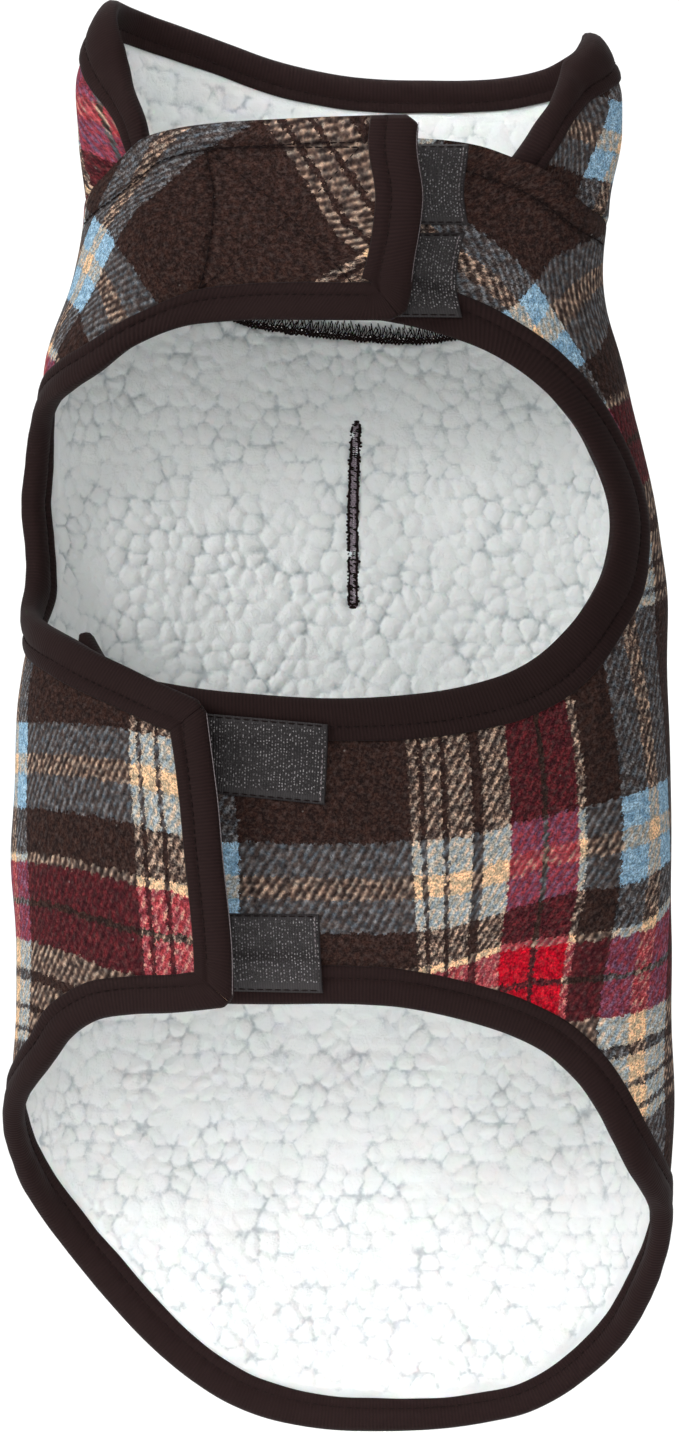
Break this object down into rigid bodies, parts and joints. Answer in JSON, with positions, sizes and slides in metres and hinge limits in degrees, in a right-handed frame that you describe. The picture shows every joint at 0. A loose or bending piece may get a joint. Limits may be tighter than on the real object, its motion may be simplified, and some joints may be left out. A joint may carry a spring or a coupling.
{
  "type": "dog winter coat",
  "caption": "Hollow dog winter coat in a plaid shell with a sherpa lining, knit binding, stand collar, leash slot, and chest and belly straps with hook tape.",
  "frame": {"origin": "on the inner face of the back's lining at the withers, 10 mm neckward of the leash slot's upper end, where the dog's back holds the coat", "axes": "+Z toward the neck, +Y out through the back, -Y toward the belly side, where the straps and flaps close, +X toward the straps that lie under"},
  "size_m": [0.2131, 0.096, 0.4445],
  "materials": {
    "body_shell": "brushed twill check in dark brown, red, light blue and tan",
    "body_lining": "white sherpa pile",
    "collar_shell": "brushed twill check in dark brown, red, light blue and tan",
    "collar_lining": "white sherpa pile",
    "collar_binding": "dark brown rib knit",
    "leg_binding_left": "dark brown rib knit",
    "leg_binding_right": "dark brown rib knit",
    "hem_binding": "dark brown rib knit",
    "belly_end_binding_left": "dark brown rib knit",
    "belly_end_binding_right": "dark brown rib knit",
    "chest_end_binding_left": "dark brown rib knit",
    "chest_end_binding_right": "dark brown rib knit",
    "chest_hook_upper": "charcoal woven hook tape",
    "chest_hook_lower": "charcoal woven hook tape",
    "belly_hook_upper": "charcoal woven hook tape",
    "belly_hook_lower": "charcoal woven hook tape",
    "chest_loop_patch": "dark knitted loop pile"
  },
  "bodies": {
    "root": {"body_shell": "body_shell", "body_lining": "body_lining", "collar_shell": "collar_shell", "collar_lining": "collar_lining", "collar_binding": "collar_binding", "leg_binding_left": "leg_binding_left", "leg_binding_right": "leg_binding_right", "hem_binding": "hem_binding", "belly_end_binding_left": "belly_end_binding_left", "belly_end_binding_right": "belly_end_binding_right", "chest_end_binding_left": "chest_end_binding_left", "chest_end_binding_right": "chest_end_binding_right", "chest_hook_upper": "chest_hook_upper", "chest_hook_lower": "chest_hook_lower", "belly_hook_upper": "belly_hook_upper", "belly_hook_lower": "belly_hook_lower", "chest_loop_patch": "chest_loop_patch"}
  },
  "joints": []
}
